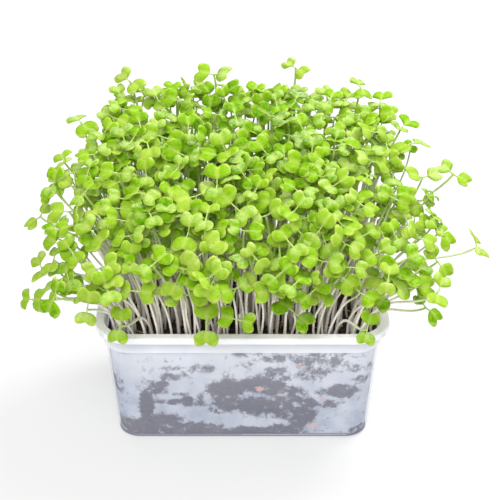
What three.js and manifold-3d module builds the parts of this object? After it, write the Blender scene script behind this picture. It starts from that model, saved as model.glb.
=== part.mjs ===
// A see-through tub of brassica microgreens, in millimetres, +Z up, standing on z = 0.
// The tub is one moulded shell. A block of soil fills it, and clumps of sprouts stand in
// holes in the soil. A sprout is a bare stem with one pair of heart-shaped seed leaves.
import * as THREE from 'three';
import { mergeVertices } from 'three/addons/utils/BufferGeometryUtils.js';
import Module from 'manifold-3d';

const wasm = await Module();
wasm.setup();

// The tub, outside sizes
const width = 174;
const depth = 120;
const height = 80;
const wall = 1;
const lipReach = 4.8; // from the collar out to the lip's edge
const lipSkirt = 4;
const lipCorner = 21;
const collarHeight = 9.3; // below the lip's skirt
const ledge = 1; // how far the wall steps in under the collar
const taper = 4.7; // how far each side leans in, from the ledge to the base
const baseCorner = 13.3;
const baseFillet = 3.6;
const cornerSteps = 5;

// The soil
const clearance = 0.3;
const soilTop = 70;
const soilUneven = 0.5;

// The clumps, in rows over the soil
const columns = 9;
const rows = 5;
const columnStep = 17.4;
const rowStep = 20.5;
const cornerPull = 0.96; // the four corner clumps stand in from the rounded corner
const sproutsPerClump = 5;
const clumpRadius = 3.5;
const rootMatRadius = 7.5;
const rootMatTop = 69.6;
const rootMatBottom = 61.8;
const rootDepth = 3.5; // how deep a stem goes into its root mat

// The sprouts
const seed = 9;
const bedHalfWidth = 78;
const bedHalfDepth = 50;
const stemLength = 98;
const backRise = 10; // how much longer stems are along the back
const frontDrop = 28; // and how much shorter along the front
const sideDrop = 16; // and at the tub's ends
const lengthVaries = 9;
const shortShare = 0.22; // the share of late, short sprouts
const shortest = 0.6; // of the full length
const shortVaries = 0.3;
const sideReach = 25; // how far stems at the tub's ends lean out
const frontReach = 27;
const backReach = 22;
const reachVaries = 0.5;
const backNarrow = 0.8; // how much less the ends lean out along the back
const frontWide = 0.15; // and how much more along the front
const wander = 7; // how far any stem leans at random
const lowWander = 3;
const lowPart = 0.42; // how high up the stem its lower bend is
const stemArch = 0.6; // how much higher a leaning stem goes before it leans
const stemBase = 0.95; // radius
const stemTip = 0.62;
const stemStops = [0, 0.26, 0.6, 1];
const leafThickness = 0.75;
const leafSize = 1.13;
const sizeVaries = 0.2;
const leafFacing = 0.9; // how much a pair of leaves faces the way that its stem leans
const faceFront = 0.4; // and how much it faces the front
const facingVaries = 0.5;
const leafLift = 0.22; // radians
const liftVaries = 0.35;
const leafFold = 0.25;
const foldVaries = 0.2;

// One seed leaf, for a sprout of size 1: distance out from the stem, distance across
const leafWaist = 0.8;
const leafBroad = [4.6, 5.7];
const leafLobe = [9.6, 4.2];
const leafNotch = 8;

// Single sprouts that stand out of the mass: their tips' x, y and z, and their roots' share of x and y
const strayRoot = [0.72, 0.66];
const strayTries = 80;
const clumpTries = 60;
const strayTips = [
  [-101, 60, 162], [-70, 68, 186], [-18, 74, 188], [33, 80, 190], [73, 66, 183], [85, 60, 175],
  [98, 50, 163], [127, 18, 147], [141, -5, 110], [107, -45, 92], [-108, 25, 152], [-122, 5, 125],
  [-119, -22, 105], [-123, -38, 93], [-2, -80, 106], [-20, -76, 100], [-68, -78, 101], [70, -77, 98],
];

// Random draws that are the same on every run
class Dice {
  constructor(start) {
    this.state = start;
  }

  next() {
    this.state = (48271 * this.state) % 2147483647;
    return this.state / 2147483647;
  }

  // between -1 and 1, most often near 0
  spread() {
    return this.next() + this.next() - 1;
  }
}

// Solids: a three.js geometry becomes a solid for joining and cutting, and back
function solidOf(geometry) {
  const bare = geometry.clone();
  bare.deleteAttribute('normal');
  bare.deleteAttribute('uv');
  const merged = mergeVertices(bare, 1e-4);
  const mesh = new wasm.Mesh({
    numProp: 3,
    vertProperties: new Float32Array(merged.attributes.position.array),
    triVerts: new Uint32Array(merged.index.array),
  });
  return new wasm.Manifold(mesh);
}

function geometryOf(solid) {
  const mesh = solid.getMesh();
  const geometry = new THREE.BufferGeometry();
  geometry.setAttribute('position', new THREE.BufferAttribute(mesh.vertProperties, 3));
  geometry.setIndex(new THREE.BufferAttribute(mesh.triVerts, 1));
  geometry.computeVertexNormals();
  return geometry;
}

function indexedGeometry(points, triangles) {
  const geometry = new THREE.BufferGeometry();
  geometry.setFromPoints(points);
  geometry.setIndex(triangles);
  return geometry;
}

// A closed skin over a stack of rings with equally many points, with flat ends.
// Each ring runs anticlockwise seen from the stack's far end.
function loft(rings) {
  const count = rings[0].length;
  const triangles = [];
  for (let level = 0; level + 1 < rings.length; level += 1) {
    for (let i = 0; i < count; i += 1) {
      const a = level * count + i;
      const b = level * count + (i + 1) % count;
      triangles.push(a, b, b + count, a, b + count, a + count);
    }
  }
  const last = (rings.length - 1) * count;
  for (let i = 1; i + 1 < count; i += 1) {
    triangles.push(0, i + 1, i);
    triangles.push(last, last + i, last + i + 1);
  }
  return indexedGeometry(rings.flat(), triangles);
}

// A rectangle with round corners, at one height. The inset is from the lip's outer edge.
function roundedRing(inset, corner, z) {
  const x = width / 2 - inset - corner;
  const y = depth / 2 - inset - corner;
  const centres = [[x, y], [-x, y], [-x, -y], [x, -y]];
  return centres.flatMap(([cx, cy], quarter) => {
    const arc = [];
    for (let step = 0; step <= cornerSteps; step += 1) {
      const angle = (quarter + step / cornerSteps) * Math.PI / 2;
      arc.push(new THREE.Vector3(cx + corner * Math.cos(angle), cy + corner * Math.sin(angle), z));
    }
    return arc;
  });
}

// The wall's outer face at a height: how far in it stands and its corner radius
const skirtBottom = height - lipSkirt;
const ledgeHeight = skirtBottom - collarHeight;
const wallInset = lipReach + ledge;
const wallCorner = lipCorner - wallInset;

function wallAt(z) {
  const down = (ledgeHeight - z) / ledgeHeight;
  return {
    inset: wallInset + taper * down,
    corner: wallCorner + (baseCorner - wallCorner) * down,
  };
}

// Rings up the tapered wall, with a round bottom edge, moved inwards by a gap
function taperedRings(gap, bottom, top, fillet) {
  const rings = [];
  const edge = wallAt(bottom + fillet);
  for (const turn of [0, 0.33, 0.67]) {
    const angle = turn * Math.PI / 2;
    const inward = fillet * (1 - Math.sin(angle));
    const up = fillet * (1 - Math.cos(angle));
    rings.push(roundedRing(edge.inset + gap + inward, edge.corner - gap - inward * 0.8, bottom + up));
  }
  rings.push(roundedRing(edge.inset + gap, edge.corner - gap, bottom + fillet));
  const end = wallAt(top);
  rings.push(roundedRing(end.inset + gap, end.corner - gap, top));
  return rings;
}

function makeTub() {
  const skirtThick = 1;
  const rimRound = 0.9;
  const collarCorner = lipCorner - lipReach;
  const outside = [
    ...taperedRings(0, 0, ledgeHeight, baseFillet),
    roundedRing(lipReach, collarCorner, ledgeHeight + 0.6),
    roundedRing(lipReach, collarCorner, height - 1.3),
    roundedRing(skirtThick, lipCorner - skirtThick, height - 1.3),
    roundedRing(skirtThick, lipCorner - skirtThick, skirtBottom),
    roundedRing(0, lipCorner, skirtBottom),
    roundedRing(0, lipCorner, height - rimRound),
    roundedRing(rimRound, lipCorner - rimRound, height),
  ];
  const inside = [
    ...taperedRings(wall, wall + 0.1, ledgeHeight, baseFillet - wall + 0.4),
    roundedRing(lipReach + wall, collarCorner - wall, ledgeHeight + 1.2),
    roundedRing(lipReach + wall, collarCorner - wall, height - rimRound),
    roundedRing(lipReach + wall - rimRound, collarCorner - wall + rimRound, height),
  ];
  return loft([...outside, ...inside.reverse()]);
}

function soilHeight(x, y) {
  return soilTop + soilUneven * (Math.sin(x / 11 + y / 23) + Math.cos(y / 8 - x / 31) - 1);
}

function makeSoil(clumps) {
  const gap = wall + clearance;
  const collarCorner = lipCorner - lipReach - gap;
  const uneven = (ring) => ring.map((p) => new THREE.Vector3(p.x, p.y, soilHeight(p.x, p.y)));
  const rings = [
    ...taperedRings(gap, gap + 0.1, ledgeHeight, baseFillet - wall),
    roundedRing(lipReach + gap, collarCorner, ledgeHeight + 1.6),
    roundedRing(lipReach + gap, collarCorner, soilTop - 2),
    uneven(roundedRing(lipReach + gap, collarCorner, soilTop)),
    roundedRing(lipReach + gap + 3, collarCorner - 3, soilTop),
  ];
  let soil = solidOf(loft(rings));
  for (const clump of clumps) {
    const hole = rootMatPrism(clump, rootMatRadius + clearance, rootMatBottom - clearance, soilTop + 5);
    soil = soil.subtract(solidOf(hole));
  }
  return geometryOf(soil);
}

// The root mat of a clump fills a plain six-sided hole in the soil
function rootMatPrism(clump, radius, bottom, top) {
  const prism = new THREE.CylinderGeometry(radius, radius, top - bottom, 6);
  prism.rotateX(Math.PI / 2);
  prism.translate(clump.x, clump.y, (top + bottom) / 2);
  return prism;
}

// One sprout: its stem's curve, and the frame and size of its pair of leaves
function makeSprout(dice, x, y, lean, rise) {
  const away = Math.hypot(lean.x, lean.y);
  const length = Math.hypot(away, rise);
  const tip = new THREE.Vector3(x + lean.x, y + lean.y, soilTop + rise);
  const outward = new THREE.Vector3(lean.x, lean.y, rise * leafFacing).normalize();
  const root = new THREE.Vector3(x, y, soilTop - rootDepth);
  const low = new THREE.Vector3();
  low.x = x + lowWander * dice.spread();
  low.y = y + lowWander * dice.spread();
  low.z = soilTop + lowPart * rise + stemArch * away * away / length;
  const up = new THREE.Vector3();
  up.x = outward.x * leafFacing + facingVaries * dice.spread();
  up.y = outward.y * leafFacing - faceFront + facingVaries * dice.spread();
  up.z = leafFacing;
  up.normalize();
  const high = new THREE.Vector3();
  high.x = tip.x - up.x * 0.2 * length;
  high.y = tip.y - up.y * 0.2 * length;
  high.z = tip.z - up.z * 0.25 * length;
  const turn = 2 * Math.PI * dice.next();
  const along = new THREE.Vector3(Math.cos(turn), Math.sin(turn), 0);
  along.addScaledVector(up, -along.dot(up)).normalize();
  const across = new THREE.Vector3().crossVectors(up, along);
  const size = leafSize + sizeVaries * dice.spread();
  const lifts = [leafLift + liftVaries * dice.spread(), leafLift + liftVaries * dice.spread()];
  const cup = leafFold + foldVaries * dice.spread();
  const stem = new THREE.CubicBezierCurve3(root, low, high, tip);
  return { stem, tip, up, along, across, size, lifts, cup };
}

// The lean and height that a sprout takes where it stands: upright in the middle,
// out over the rim at the edges, with shorter ones among them
function drawSprout(dice, x, y) {
  const alongX = x / bedHalfWidth;
  const alongY = y / bedHalfDepth;
  const side = Math.abs(alongX);
  const front = Math.max(-alongY, 0);
  const back = Math.max(alongY, 0);
  let length = stemLength + backRise * back - frontDrop * front ** 2;
  length += lengthVaries * dice.spread() - sideDrop * side ** 3 * (1 - 0.7 * back);
  const share = dice.next() < shortShare ? shortest + shortVaries * dice.next() : 1;
  length *= share;
  const reachX = share * sideReach * (1 - backNarrow * back + frontWide * front) * side ** 1.7;
  const reachY = share * (y > 0 ? backReach : frontReach) * (1 - 0.3 * side ** 2) * (front + back) ** 1.5;
  const lean = {};
  lean.x = Math.sign(x) * reachX * (1 + reachVaries * dice.spread()) + wander * dice.spread();
  lean.y = Math.sign(y) * reachY * (1 + reachVaries * dice.spread()) + wander * dice.spread();
  const away = Math.hypot(lean.x, lean.y);
  const most = 0.9 * length;
  const keep = away > most ? most / away : 1;
  lean.x *= keep;
  lean.y *= keep;
  const rise = Math.sqrt(length ** 2 - (away * keep) ** 2);
  return makeSprout(dice, x, y, lean, rise);
}

// A point of one leaf: so far out along it and so far across it. The leaf lifts from the
// stem's end and its two halves fold up along the midrib.
function leafPoint(sprout, side, out, over) {
  const lift = sprout.lifts[side > 0 ? 0 : 1];
  const r = out * sprout.size;
  const w = over * sprout.size;
  const point = sprout.tip.clone();
  point.addScaledVector(sprout.along, side * r * Math.cos(lift));
  point.addScaledVector(sprout.across, w * Math.cos(sprout.cup));
  point.addScaledVector(sprout.up, r * Math.sin(lift) + Math.abs(w) * Math.sin(sprout.cup));
  return point;
}

// A point of the stem as it is built, in straight lengths from stop to stop
function bentStemPoint(sprout, t) {
  const next = Math.max(1, stemStops.findIndex((stop) => stop >= t));
  const [from, to] = [stemStops[next - 1], stemStops[next]];
  return sprout.stem.getPoint(from).lerp(sprout.stem.getPoint(to), (t - from) / (to - from));
}

// The room that a sprout takes, as balls along its stem and over its leaves
const stemBalls = 14;
const stemBallRadius = 1.5;
const leafBallRadius = 2.2;
const leafBalls = [[2.5, 0], [5.1, -3.8], [5.2, 0], [5.1, 3.8], [8.4, -3.7], [8, 0], [8.4, 3.7]];

function roomOf(sprout) {
  const balls = [];
  for (let i = 2; i <= stemBalls; i += 1) {
    balls.push({ at: sprout.stem.getPoint(i / stemBalls), radius: stemBallRadius });
    balls.push({ at: bentStemPoint(sprout, i / stemBalls), radius: stemBallRadius });
  }
  for (const side of [1, -1]) {
    for (const [out, over] of leafBalls) {
      balls.push({ at: leafPoint(sprout, side, out, over), radius: leafBallRadius });
    }
  }
  return balls;
}

// The balls of all sprouts so far, kept by cell so that near ones are found fast
class Room {
  constructor() {
    this.cells = new Map();
    this.cellSize = 8;
  }

  cellOf(at) {
    return [at.x, at.y, at.z].map((v) => Math.floor(v / this.cellSize));
  }

  add(balls) {
    for (const ball of balls) {
      const key = this.cellOf(ball.at).join();
      if (!this.cells.has(key)) {
        this.cells.set(key, []);
      }
      this.cells.get(key).push(ball);
    }
  }

  near(at) {
    const [i, j, k] = this.cellOf(at);
    const found = [];
    for (let n = 0; n < 27; n += 1) {
      const key = [i + n % 3 - 1, j + Math.floor(n / 3) % 3 - 1, k + Math.floor(n / 9) - 1].join();
      found.push(...(this.cells.get(key) ?? []));
    }
    return found;
  }

  isFree(balls) {
    return balls.every((ball) => this.near(ball.at).every(
      (other) => ball.at.distanceTo(other.at) >= ball.radius + other.radius,
    ));
  }
}

// How far inside the tub's opening a point is, seen from above
function insideOpening(x, y) {
  const inset = lipReach + wall;
  const corner = lipCorner - inset;
  const pastX = Math.max(Math.abs(x) - (width / 2 - inset - corner), 0);
  const pastY = Math.max(Math.abs(y) - (depth / 2 - inset - corner), 0);
  return corner - Math.hypot(pastX, pastY);
}

// Low leaves and bent stems keep off the rim, and leaves keep off the soil
function clearsTub(balls) {
  const apart = 1;
  return balls.every(({ at, radius }) => {
    const inside = insideOpening(at.x, at.y);
    const lowBy = height + apart + radius - at.z;
    const overX = Math.abs(at.x) < width / 2 + apart + radius;
    const overY = Math.abs(at.y) < depth / 2 + apart + radius;
    if (lowBy > 0 && overX && overY && inside < radius + apart) {
      return false;
    }
    return !(inside > 0 && radius === leafBallRadius && at.z < soilTop + radius);
  });
}

// Clumps in rows, each with its sprouts bent clear of all the others
function layClumps(dice) {
  const clumps = [];
  for (let row = 0; row < rows; row += 1) {
    for (let column = 0; column < columns; column += 1) {
      const endColumn = column === 0 || column === columns - 1;
      const endRow = row === 0 || row === rows - 1;
      const pull = endColumn && endRow ? cornerPull : 1;
      const x = (column - (columns - 1) / 2) * columnStep * pull;
      const y = (row - (rows - 1) / 2) * rowStep * pull;
      clumps.push({ x, y, turn: 2 * Math.PI * dice.next(), sprouts: [] });
    }
  }
  return clumps;
}

function growStrays(dice, clumps, room) {
  for (const [tipX, tipY, tipZ] of strayTips) {
    const distance = (clump) => Math.hypot(clump.x - strayRoot[0] * tipX, clump.y - strayRoot[1] * tipY);
    const free = clumps.filter((clump) => clump.sprouts.length === 0);
    const clump = free.reduce((best, other) => (distance(other) < distance(best) ? other : best));
    for (let attempt = 0; attempt < strayTries && clump.sprouts.length === 0; attempt += 1) {
      clump.turn = Math.atan2(tipY - clump.y, tipX - clump.x) + 0.5 * dice.spread();
      const x = clump.x + clumpRadius * Math.cos(clump.turn);
      const y = clump.y + clumpRadius * Math.sin(clump.turn);
      const sprout = makeSprout(dice, x, y, { x: tipX - x, y: tipY - y }, tipZ - soilTop);
      const balls = roomOf(sprout);
      if (clearsTub(balls) && room.isFree(balls)) {
        room.add(balls);
        clump.sprouts.push(sprout);
      }
    }
  }
}

function growClump(dice, clump, room) {
  for (let k = clump.sprouts.length; k < sproutsPerClump; k += 1) {
    for (let attempt = 0; attempt < clumpTries; attempt += 1) {
      const angle = clump.turn + 2 * Math.PI * k / sproutsPerClump + 0.3 * dice.spread();
      const radius = clumpRadius + 0.5 * dice.spread();
      const x = clump.x + radius * Math.cos(angle);
      const y = clump.y + radius * Math.sin(angle);
      const sprout = drawSprout(dice, x, y);
      const balls = roomOf(sprout);
      if (clearsTub(balls) && room.isFree(balls)) {
        room.add(balls);
        clump.sprouts.push(sprout);
        break;
      }
    }
  }
}

// Three-sided rings up the stem, turned so that they meet the leaves' underside unturned
function stemRings(sprout) {
  return stemStops.map((stop) => {
    const centre = sprout.stem.getPoint(stop);
    const heading = sprout.stem.getTangent(stop);
    const sideways = sprout.across.clone();
    sideways.addScaledVector(heading, -sideways.dot(heading)).normalize();
    const forward = new THREE.Vector3().crossVectors(sideways, heading);
    const radius = stemBase + (stemTip - stemBase) * stop;
    return [-1, 0, 1].map((i) => {
      const angle = i * 2 * Math.PI / 3;
      const point = centre.clone();
      point.addScaledVector(forward, radius * Math.cos(angle));
      return point.addScaledVector(sideways, radius * Math.sin(angle));
    });
  });
}

// One sprout as one closed skin. The pair of leaves is a thin blade, narrow in its middle,
// with each leaf folded along its midrib and both faces split into triangles alike. The
// stem's last ring is a triangle of the blade's underside, so stem and leaves are one.
function sproutSolid(sprout) {
  const [broad, lobe] = [leafBroad, leafLobe];
  const outline = [
    [-1, lobe[0], -lobe[1]], [-1, broad[0], -broad[1]], [1, 0, -leafWaist],
    [1, broad[0], -broad[1]], [1, lobe[0], -lobe[1]], [1, leafNotch, 0],
    [1, lobe[0], lobe[1]], [1, broad[0], broad[1]], [1, 0, leafWaist],
    [-1, broad[0], broad[1]], [-1, lobe[0], lobe[1]], [-1, leafNotch, 0],
  ];
  const faces = [
    [2, 3, 5], [3, 4, 5], [8, 5, 7], [5, 6, 7],
    [8, 9, 11], [9, 10, 11], [8, 11, 2], [2, 11, 1], [11, 0, 1],
  ];
  const joint = [2, 5, 8]; // the face over the stem
  const top = outline.map(([side, out, over]) => leafPoint(sprout, side, out, over));
  const bottom = outline.map(([side, out], i) => {
    const lift = out === 0 ? 0 : sprout.lifts[side > 0 ? 0 : 1];
    const below = top[i].clone();
    below.addScaledVector(sprout.up, -leafThickness * Math.cos(lift));
    return below.addScaledVector(sprout.along, side * leafThickness * Math.sin(lift));
  });
  const waist = bottom[joint[0]].clone().lerp(bottom[joint[2]], 0.5);
  const corner = waist.lerp(bottom[joint[1]], leafWaist * 1.5 / leafNotch);
  const count = outline.length;
  const cornerIndex = 2 * count;
  const triangles = [joint];
  for (const [a, b, c] of faces) {
    triangles.push([a, b, c], [a + count, c + count, b + count]);
  }
  triangles.push([joint[0] + count, cornerIndex, joint[1] + count]);
  triangles.push([cornerIndex, joint[2] + count, joint[1] + count]);
  for (let i = 0; i < count; i += 1) {
    const next = (i + 1) % count;
    triangles.push([i + count, next + count, next], [i + count, next, i]);
  }
  const rings = stemRings(sprout).slice(0, -1);
  const first = cornerIndex + 1;
  const ringIndices = rings.map((ring, level) => ring.map((point, i) => first + 3 * level + i));
  ringIndices.push([joint[0] + count, cornerIndex, joint[2] + count]);
  triangles.push([first, first + 2, first + 1]);
  for (let level = 0; level + 1 < ringIndices.length; level += 1) {
    for (let i = 0; i < 3; i += 1) {
      const next = (i + 1) % 3;
      const [a, b] = [ringIndices[level][i], ringIndices[level][next]];
      const [c, d] = [ringIndices[level + 1][next], ringIndices[level + 1][i]];
      triangles.push([a, b, c], [a, c, d]);
    }
  }
  return solidOf(indexedGeometry([...top, ...bottom, corner, ...rings.flat()], triangles.flat()));
}

function makeClump(clump) {
  let solid = solidOf(rootMatPrism(clump, rootMatRadius, rootMatBottom, rootMatTop));
  for (const sprout of clump.sprouts) {
    solid = solid.add(sproutSolid(sprout));
  }
  return geometryOf(solid);
}

// The finished object
const tubPlastic = new THREE.MeshStandardMaterial({ color: '#e3e9f0', roughness: 0.35, metalness: 0 });
const peat = new THREE.MeshStandardMaterial({ color: '#3a2c26', roughness: 0.95, metalness: 0 });
const leafGreen = new THREE.MeshStandardMaterial({ color: '#9ccc2e', roughness: 0.5, metalness: 0 });

const group = new THREE.Group();

function addPart(name, geometry, material) {
  const mesh = new THREE.Mesh(geometry, material);
  mesh.name = name;
  group.add(mesh);
}

const dice = new Dice(seed);
const room = new Room();
const clumps = layClumps(dice);
growStrays(dice, clumps, room);
for (const clump of clumps) {
  growClump(dice, clump, room);
}

addPart('tray', makeTub(), tubPlastic);
addPart('soil', makeSoil(clumps), peat);
clumps.forEach((clump, index) => {
  addPart(`clump_${String(index + 1).padStart(2, '0')}`, makeClump(clump), leafGreen);
});

export default group;
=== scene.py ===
import math

import bmesh
import bpy
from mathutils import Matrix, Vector, noise


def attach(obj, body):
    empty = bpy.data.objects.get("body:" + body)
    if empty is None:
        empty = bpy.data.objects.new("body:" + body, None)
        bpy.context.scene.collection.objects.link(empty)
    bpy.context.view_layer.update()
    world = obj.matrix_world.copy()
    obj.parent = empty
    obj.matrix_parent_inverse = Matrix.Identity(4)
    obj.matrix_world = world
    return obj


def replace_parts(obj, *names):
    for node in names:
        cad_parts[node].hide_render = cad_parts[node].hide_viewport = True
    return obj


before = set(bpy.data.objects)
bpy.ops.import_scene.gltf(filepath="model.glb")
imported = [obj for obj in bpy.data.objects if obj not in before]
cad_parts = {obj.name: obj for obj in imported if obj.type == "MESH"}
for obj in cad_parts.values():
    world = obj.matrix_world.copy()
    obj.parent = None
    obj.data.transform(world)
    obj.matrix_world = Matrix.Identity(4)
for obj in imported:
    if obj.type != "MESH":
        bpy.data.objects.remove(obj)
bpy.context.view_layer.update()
mm = 0.001

tub = {
    "width": 174, "depth": 120, "height": 80, "wall": 1, "lipReach": 4.8, "lipSkirt": 4, "lipCorner": 21,
    "collarHeight": 9.3, "ledge": 1, "taper": 4.7, "baseCorner": 13.3, "baseFillet": 3.6,
}
soil = {"top": 70, "gap": 0.35}


# Sprouts: where they stand and how they bend. Lengths are in mm, and points are plain tuples.
growth = {
    "seed": 9, "columns": 9, "rows": 5, "columnStep": 17.4, "rowStep": 20.5, "cornerPull": 0.96,
    "perClump": 5, "clumpRadius": 3.5, "radiusVaries": 0.5, "angleVaries": 0.3, "clumpTries": 60,
    "rootDepth": 3.5, "bedHalfWidth": 78, "bedHalfDepth": 50, "offTub": 1,
    "stemLength": 98, "backRise": 10, "frontDrop": 28, "sideDrop": 16, "backKeeps": 0.7, "lengthVaries": 9,
    "shortShare": 0.22, "shortest": 0.6, "shortVaries": 0.3,
    "sideReach": 25, "sidePower": 1.7, "backNarrow": 0.8, "frontWide": 0.15,
    "frontReach": 27, "backReach": 22, "frontPower": 1.5, "cornerEase": 0.3,
    "reachVaries": 0.5, "wander": 7, "mostLean": 0.9,
    "lowWander": 3, "lowPart": 0.42, "stemArch": 0.6, "stemStops": (0, 0.26, 0.6, 1),
    "stemBalls": 14, "stemBall": 1.5, "leafBall": 2.2,
    "strayRoot": (0.72, 0.66), "strayTurns": 0.5, "strayTries": 80,
}
leafGrowth = {
    "size": 1.13, "sizeVaries": 0.2, "facing": 0.9, "faceFront": 0.4, "facingVaries": 0.5, "lift": 0.22,
    "liftVaries": 0.35, "fold": 0.25, "foldVaries": 0.2, "bendBack": 0.2, "bendDown": 0.25,
}
fill = {
    "count": 380, "triesEach": 40, "stemBall": 0.6, "leafBall": 0.8, "smallest": 0.82, "sizeVaries": 0.34,
    "lift": 0.2, "liftVaries": 0.7, "backward": 1.3, "offWall": 2.5, "lowWander": 8, "lowTip": 120,
    "frontTip": -50, "lowKept": 0.5, "perPiece": 50, "slender": 0.85,
}
strayTips = [
    (-101, 60, 162), (-70, 68, 186), (-18, 74, 188), (33, 80, 190), (73, 66, 183), (85, 60, 175),
    (98, 50, 163), (127, 18, 147), (141, -5, 110), (107, -45, 92), (-108, 25, 152), (-122, 5, 125),
    (-119, -22, 105), (-123, -38, 93), (-2, -80, 106), (-20, -76, 100), (-68, -78, 101), (70, -77, 98),
]
leafBalls = [(2.5, 0), (5.1, -3.8), (5.2, 0), (5.1, 3.8), (8.4, -3.7), (8, 0), (8.4, 3.7)]


class Dice:
    def __init__(self, start):
        self.state = start

    def next(self):
        self.state = (48271 * self.state) % 2147483647
        return self.state / 2147483647

    def spread(self):  # between -1 and 1, most often near 0
        return self.next() + self.next() - 1


def shifted(a, b, amount):
    return (a[0] + b[0] * amount, a[1] + b[1] * amount, a[2] + b[2] * amount)


def dotOf(a, b):
    return a[0] * b[0] + a[1] * b[1] + a[2] * b[2]


def crossOf(a, b):
    return (a[1] * b[2] - a[2] * b[1], a[2] * b[0] - a[0] * b[2], a[0] * b[1] - a[1] * b[0])


def unitOf(a):
    inverse = 1 / (math.sqrt(dotOf(a, a)) or 1)
    return (a[0] * inverse, a[1] * inverse, a[2] * inverse)


def curvePoint(curve, t):
    k = 1 - t
    w0, w1, w2, w3 = k * k * k, 3 * k * k * t, 3 * k * t * t, t * t * t
    return tuple(w0 * a + w1 * b + w2 * c + w3 * d for a, b, c, d in zip(*curve))


def curveHeading(curve, t):
    k = 1 - t
    p0, p1, p2, p3 = curve
    w0, w1, w2 = 3 * k * k, 6 * k * t, 3 * t * t
    return unitOf(tuple(w0 * (b - a) + w1 * (c - b) + w2 * (d - c) for a, b, c, d in zip(p0, p1, p2, p3)))


def makeSprout(dice, x, y, leanX, leanY, rise, bend):
    away = math.hypot(leanX, leanY)
    length = math.hypot(away, rise)
    tip = (x + leanX, y + leanY, soil["top"] + rise)
    facing, varies = leafGrowth["facing"], leafGrowth["facingVaries"]
    outward = unitOf((leanX, leanY, rise * facing))
    root = (x, y, soil["top"] - growth["rootDepth"])
    lowX = x + bend * dice.spread()
    lowY = y + bend * dice.spread()
    low = (lowX, lowY, soil["top"] + growth["lowPart"] * rise + growth["stemArch"] * away * away / length)
    upX = outward[0] * facing + varies * dice.spread()
    upY = outward[1] * facing - leafGrowth["faceFront"] + varies * dice.spread()
    up = unitOf((upX, upY, facing))
    back, down = leafGrowth["bendBack"], leafGrowth["bendDown"]
    high = (tip[0] - up[0] * back * length, tip[1] - up[1] * back * length, tip[2] - up[2] * down * length)
    turn = 2 * math.pi * dice.next()
    along = (math.cos(turn), math.sin(turn), 0)
    along = unitOf(shifted(along, up, -dotOf(along, up)))
    size = leafGrowth["size"] + leafGrowth["sizeVaries"] * dice.spread()
    lift, liftVaries = leafGrowth["lift"], leafGrowth["liftVaries"]
    lifts = (lift + liftVaries * dice.spread(), lift + liftVaries * dice.spread())
    cup = leafGrowth["fold"] + leafGrowth["foldVaries"] * dice.spread()
    return {"curve": (root, low, high, tip), "tip": tip, "up": up, "along": along,
            "across": crossOf(up, along), "size": size, "lifts": lifts, "cup": cup}


def drawSprout(dice, x, y, bend):
    alongX = x / growth["bedHalfWidth"]
    alongY = y / growth["bedHalfDepth"]
    side, front, back = abs(alongX), max(-alongY, 0), max(alongY, 0)
    length = growth["stemLength"] + growth["backRise"] * back - growth["frontDrop"] * front ** 2
    sideDrop = growth["sideDrop"] * side ** 3 * (1 - growth["backKeeps"] * back)
    length += growth["lengthVaries"] * dice.spread() - sideDrop
    share = 1
    if dice.next() < growth["shortShare"]:
        share = growth["shortest"] + growth["shortVaries"] * dice.next()
    length *= share
    reachX = share * growth["sideReach"] * (1 - growth["backNarrow"] * back + growth["frontWide"] * front)
    reachX *= side ** growth["sidePower"]
    reachY = share * growth["backReach" if y > 0 else "frontReach"]
    reachY *= (1 - growth["cornerEase"] * side ** 2)
    reachY *= (front + back) ** growth["frontPower"]
    varies, wander = growth["reachVaries"], growth["wander"]
    leanX = math.copysign(reachX, x) * (1 + varies * dice.spread()) + wander * dice.spread()
    leanY = math.copysign(reachY, y) * (1 + varies * dice.spread()) + wander * dice.spread()
    away = math.hypot(leanX, leanY)
    most = growth["mostLean"] * length
    keep = most / away if away > most else 1
    rise = math.sqrt(length ** 2 - (away * keep) ** 2)
    return makeSprout(dice, x, y, leanX * keep, leanY * keep, rise, bend)


def leafPoint(sprout, side, out, over):
    lift = sprout["lifts"][0 if side > 0 else 1]
    r = out * sprout["size"]
    w = over * sprout["size"]
    point = shifted(sprout["tip"], sprout["along"], side * r * math.cos(lift))
    point = shifted(point, sprout["across"], w * math.cos(sprout["cup"]))
    return shifted(point, sprout["up"], r * math.sin(lift) + abs(w) * math.sin(sprout["cup"]))


def bentStemPoint(sprout, t):
    stops = growth["stemStops"]
    ahead = max(1, next(i for i, stop in enumerate(stops) if stop >= t))
    start = curvePoint(sprout["curve"], stops[ahead - 1])
    end = curvePoint(sprout["curve"], stops[ahead])
    share = (t - stops[ahead - 1]) / (stops[ahead] - stops[ahead - 1])
    return tuple(start[i] + (end[i] - start[i]) * share for i in range(3))


def roomOf(sprout, stemBall, leafBall):
    balls = []
    for i in range(2, growth["stemBalls"] + 1):
        t = i / growth["stemBalls"]
        balls.append((*curvePoint(sprout["curve"], t), stemBall))
        balls.append((*bentStemPoint(sprout, t), stemBall))
    for side in (1, -1):
        for out, over in leafBalls:
            balls.append((*leafPoint(sprout, side, out, over), leafBall))
    return balls


class Room:
    def __init__(self):
        self.cells = {}
        self.cellSize = 8

    def cellOf(self, ball):
        return tuple(math.floor(v / self.cellSize) for v in ball[:3])

    def add(self, balls):
        for ball in balls:
            self.cells.setdefault(self.cellOf(ball), []).append(ball)

    def isFree(self, balls):
        steps = (-1, 0, 1)
        for x, y, z, radius in balls:
            i, j, k = self.cellOf((x, y, z))
            for cell in ((i + a, j + b, k + c) for a in steps for b in steps for c in steps):
                for ox, oy, oz, otherRadius in self.cells.get(cell, ()):
                    reach = radius + otherRadius
                    if (x - ox) ** 2 + (y - oy) ** 2 + (z - oz) ** 2 < reach * reach:
                        return False
        return True


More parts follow.
